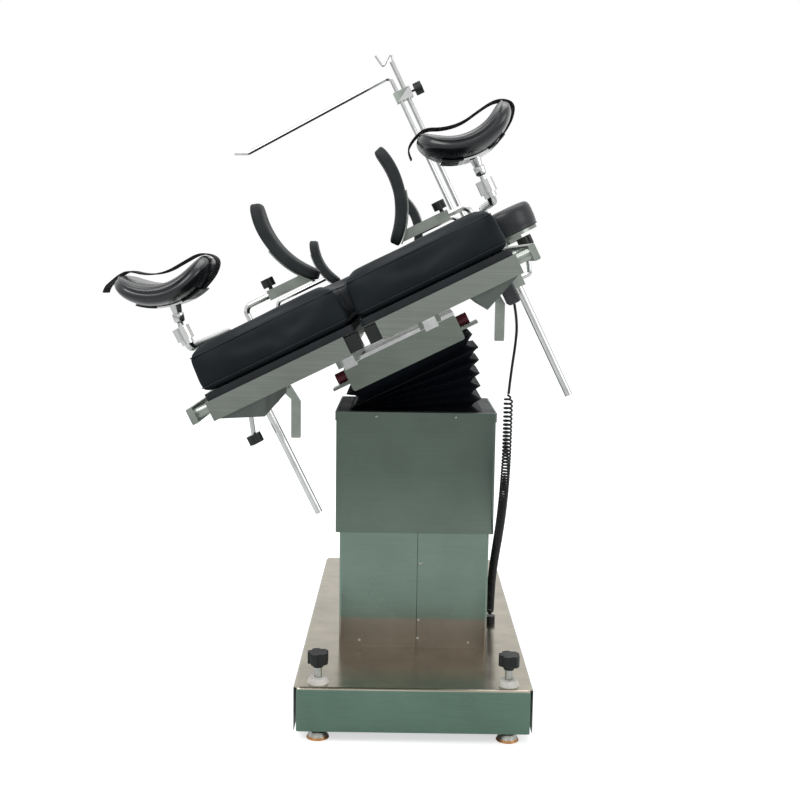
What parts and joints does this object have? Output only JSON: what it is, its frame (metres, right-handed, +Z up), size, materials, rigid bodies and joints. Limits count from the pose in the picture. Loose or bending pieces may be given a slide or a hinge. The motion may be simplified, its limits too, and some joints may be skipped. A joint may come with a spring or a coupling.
{
  "type": "operating table",
  "caption": "Electric operating table with lifting column, two-way tilt, folding leg plates, knee crutches, body supports and handset.",
  "frame": {"origin": "centre of the rest-pose outline on the floor, under the middle of the table without its handset cord", "axes": "+Y from the foot end to the head end, +X across to the raised side of the table, +Z up"},
  "size_m": [0.8859, 1.997, 1.5184],
  "materials": {
    "cover_steel": "satin",
    "base_steel": "satin",
    "frame_paint": "matte",
    "frame_alloy": "satin",
    "bright_steel": "polished",
    "clamp_steel": "satin",
    "upholstery": "matte",
    "moulded_pad": "gloss",
    "support_foam": "matte",
    "knob_plastic": "satin",
    "handset_plastic": "gloss",
    "bellows_rubber": "matte",
    "buffer_rubber": "matte",
    "washer_plastic": "matte",
    "cord_sheath": "satin"
  },
  "bodies": {
    "base": {"base_cover": "base_steel", "base_frame": "frame_paint", "floor_lock_washers": "washer_plastic", "column_lower_covers": "cover_steel", "handset_cord_lead": "cord_sheath", "handset_cord_coil": "cord_sheath"},
    "floor_lock_1": {"floor_lock_foot_left": "bright_steel"},
    "floor_lock_2": {"floor_lock_foot_right": "bright_steel"},
    "floor_lock_3": {"floor_lock_head_left": "bright_steel"},
    "floor_lock_4": {"floor_lock_head_right": "bright_steel"},
    "column_head": {"column_upper_cover": "cover_steel", "lift_ram": "frame_paint", "bellows_lower": "bellows_rubber"},
    "tilt_cross": {"cardan_cross": "frame_paint", "bellows_upper": "bellows_rubber"},
    "tilt_head": {"head_box": "clamp_steel", "end_buffers": "buffer_rubber"},
    "table_top": {"seat_frame": "frame_alloy", "seat_cushion": "upholstery", "crutch_clamps": "clamp_steel", "handset": "handset_plastic"},
    "back_section": {"back_frame": "frame_alloy", "back_cushion": "upholstery", "back_rail_clamps": "clamp_steel", "shoulder_support_left": "bright_steel", "shoulder_support_right": "bright_steel", "shoulder_pad_left": "support_foam", "shoulder_pad_right": "support_foam", "screen_post": "bright_steel", "arm_board_bracket": "clamp_steel"},
    "headrest": {"headrest_frame": "frame_alloy", "headrest_cushion": "upholstery"},
    "screen_bar": {"screen_bar": "bright_steel"},
    "screen_knob": {"screen_knob": "knob_plastic"},
    "arm_board": {"arm_board": "clamp_steel", "arm_board_pad": "upholstery"},
    "release_lever_left": {"leg_release_lever_left": "clamp_steel"},
    "leg_bracket_left": {"leg_bracket_left": "clamp_steel"},
    "leg_plate_left": {"leg_frame_left": "frame_alloy", "leg_cushion_left": "upholstery"},
    "crutch_left": {"crutch_rod_left": "bright_steel"},
    "crutch_rest_left": {"crutch_cradle_left": "bright_steel", "crutch_pad_left": "moulded_pad"},
    "crutch_lock_left": {"crutch_lock_left": "bright_steel"},
    "side_post_left": {"side_support_post_left": "bright_steel"},
    "side_pad_left": {"side_support_carrier_left": "clamp_steel", "side_support_pad_left": "support_foam"},
    "side_knob_left": {"side_support_knob_left": "knob_plastic"},
    "release_lever_right": {"leg_release_lever_right": "clamp_steel"},
    "leg_bracket_right": {"leg_bracket_right": "clamp_steel"},
    "leg_plate_right": {"leg_frame_right": "frame_alloy", "leg_cushion_right": "upholstery"},
    "crutch_right": {"crutch_rod_right": "bright_steel"},
    "crutch_rest_right": {"crutch_cradle_right": "bright_steel", "crutch_pad_right": "moulded_pad"},
    "crutch_lock_right": {"crutch_lock_right": "bright_steel"},
    "side_post_right": {"side_support_post_right": "bright_steel"},
    "side_pad_right": {"side_support_carrier_right": "clamp_steel", "side_support_pad_right": "support_foam"},
    "side_knob_right": {"side_support_knob_right": "knob_plastic"}
  },
  "joints": [
    {"name": "floor_lock_turn_1", "type": "hinge", "parent": "base", "child": "floor_lock_1", "pos_m": [-0.0858, -0.3905, 0.15], "axis": [0, 0, 1], "range_deg": [-180, 180]},
    {"name": "floor_lock_turn_2", "type": "hinge", "parent": "base", "child": "floor_lock_2", "pos_m": [0.3142, -0.3905, 0.15], "axis": [0, 0, 1], "range_deg": [-180, 180]},
    {"name": "floor_lock_turn_3", "type": "hinge", "parent": "base", "child": "floor_lock_3", "pos_m": [-0.0508, 0.5435, 0.15], "axis": [0, 0, 1], "range_deg": [-180, 180]},
    {"name": "floor_lock_turn_4", "type": "hinge", "parent": "base", "child": "floor_lock_4", "pos_m": [0.2792, 0.5435, 0.15], "axis": [0, 0, 1], "range_deg": [-180, 180]},
    {"name": "column_lift", "type": "slide", "parent": "base", "child": "column_head", "axis": [0, 0, 1], "range_m": [-0.25, 0], "deforming": ["handset_cord_coil"]},
    {"name": "lateral_tilt", "type": "hinge", "parent": "column_head", "child": "tilt_cross", "pos_m": [0.1142, -0.0485, 0.706], "axis": [0, 1, 0], "range_deg": [0, 52.8], "deforming": ["bellows_lower", "handset_cord_lead"]},
    {"name": "end_to_end_tilt", "type": "hinge", "parent": "tilt_cross", "child": "tilt_head", "pos_m": [0.09375, -0.0485, 0.7472], "axis": [0.8957, 0, 0.4446], "range_deg": [-15, 15], "deforming": ["bellows_upper"]},
    {"name": "top_slide", "type": "slide", "parent": "tilt_head", "child": "table_top", "axis": [0, -1, 0], "range_m": [-0.15, 0.15]},
    {"name": "back_lift", "type": "hinge", "parent": "table_top", "child": "back_section", "pos_m": [-0.01252, -0.0035, 0.96128], "axis": [0.8957, 0, 0.4446], "range_deg": [-15, 75]},
    {"name": "headrest_tilt", "type": "hinge", "parent": "back_section", "child": "headrest", "pos_m": [-0.0014, 0.7365, 0.93888], "axis": [-0.8957, 0, -0.4446], "range_deg": [-45, 30]},
    {"name": "leg_fold_left", "type": "hinge", "parent": "table_top", "child": "leg_bracket_left", "pos_m": [-0.18709, -0.4885, 0.7507], "axis": [0.8957, 0, 0.4446], "range_deg": [0, 90]},
    {"name": "leg_splay_left", "type": "hinge", "parent": "leg_bracket_left", "child": "leg_plate_left", "pos_m": [-0.20318, -0.5335, 0.75611], "axis": [-0.4446, 0, 0.8957], "range_deg": [-90, 0]},
    {"name": "release_lever_swing_left", "type": "hinge", "parent": "table_top", "child": "release_lever_left", "pos_m": [-0.16388, -0.3205, 0.73542], "axis": [0, 1, 0], "range_deg": [-15, 20]},
    {"name": "crutch_height_left", "type": "slide", "parent": "table_top", "child": "crutch_left", "axis": [-0.4446, 0, 0.8957], "range_m": [0, 0.15]},
    {"name": "crutch_rest_roll_left", "type": "hinge", "parent": "crutch_left", "child": "crutch_rest_left", "pos_m": [-0.30572, -0.6635, 0.86821], "axis": [0, 1, 0], "range_deg": [-32, 8]},
    {"name": "crutch_lock_turn_left", "type": "hinge", "parent": "table_top", "child": "crutch_lock_left", "pos_m": [-0.22438, -0.2885, 0.69311], "axis": [0.8957, 0, 0.4446], "range_deg": [-30, 30]},
    {"name": "side_post_height_left", "type": "slide", "parent": "back_section", "child": "side_post_left", "axis": [-0.4446, 0, 0.8957], "range_m": [0, 0.06]},
    {"name": "side_pad_slide_left", "type": "slide", "parent": "side_post_left", "child": "side_pad_left", "axis": [0.8957, 0, 0.4446], "range_m": [0, 0.03]},
    {"name": "side_knob_turn_left", "type": "hinge", "parent": "side_pad_left", "child": "side_knob_left", "pos_m": [-0.23134, 0.0565, 0.91629], "axis": [-0.4446, 0, 0.8957], "range_deg": [-180, 180]},
    {"name": "leg_fold_right", "type": "hinge", "parent": "table_top", "child": "leg_bracket_right", "pos_m": [0.26076, -0.4885, 0.97301], "axis": [0.8957, 0, 0.4446], "range_deg": [0, 90]},
    {"name": "leg_splay_right", "type": "hinge", "parent": "leg_bracket_right", "child": "leg_plate_right", "pos_m": [0.26617, -0.5335, 0.9891], "axis": [0.4446, 0, -0.8957], "range_deg": [-90, 0]},
    {"name": "release_lever_swing_right", "type": "hinge", "parent": "table_top", "child": "release_lever_right", "pos_m": [0.25889, -0.3205, 0.94529], "axis": [0, 1, 0], "range_deg": [-15, 20]},
    {"name": "crutch_height_right", "type": "slide", "parent": "table_top", "child": "crutch_right", "axis": [-0.4446, 0, 0.8957], "range_m": [0, 0.15]},
    {"name": "crutch_rest_roll_right", "type": "hinge", "parent": "crutch_right", "child": "crutch_rest_right", "pos_m": [0.22276, -0.6635, 1.13054], "axis": [0, 1, 0], "range_deg": [-23, 17]},
    {"name": "crutch_lock_turn_right", "type": "hinge", "parent": "table_top", "child": "crutch_lock_right", "pos_m": [0.32917, -0.2885, 0.9679], "axis": [0.8957, 0, 0.4446], "range_deg": [-30, 30]},
    {"name": "side_post_height_right", "type": "slide", "parent": "back_section", "child": "side_post_right", "axis": [-0.4446, 0, 0.8957], "range_m": [0, 0.06]},
    {"name": "side_pad_slide_right", "type": "slide", "parent": "side_post_right", "child": "side_pad_right", "axis": [-0.8957, 0, -0.4446], "range_m": [0, 0.03]},
    {"name": "side_knob_turn_right", "type": "hinge", "parent": "side_pad_right", "child": "side_knob_right", "pos_m": [0.17173, 0.0565, 1.11638], "axis": [-0.4446, 0, 0.8957], "range_deg": [-180, 180]},
    {"name": "screen_bar_height", "type": "slide", "parent": "back_section", "child": "screen_bar", "axis": [-0.4446, 0, 0.8957], "range_m": [-0.02, 0.2]},
    {"name": "screen_knob_turn", "type": "hinge", "parent": "back_section", "child": "screen_knob", "pos_m": [0.08317, 0.2675, 1.42074], "axis": [0.8957, 0, 0.4446], "range_deg": [-180, 180]},
    {"name": "arm_board_swivel", "type": "hinge", "parent": "back_section", "child": "arm_board", "pos_m": [0.36656, 0.2735, 1.06349], "axis": [0.4446, 0, -0.8957], "range_deg": [0, 90]}
  ]
}
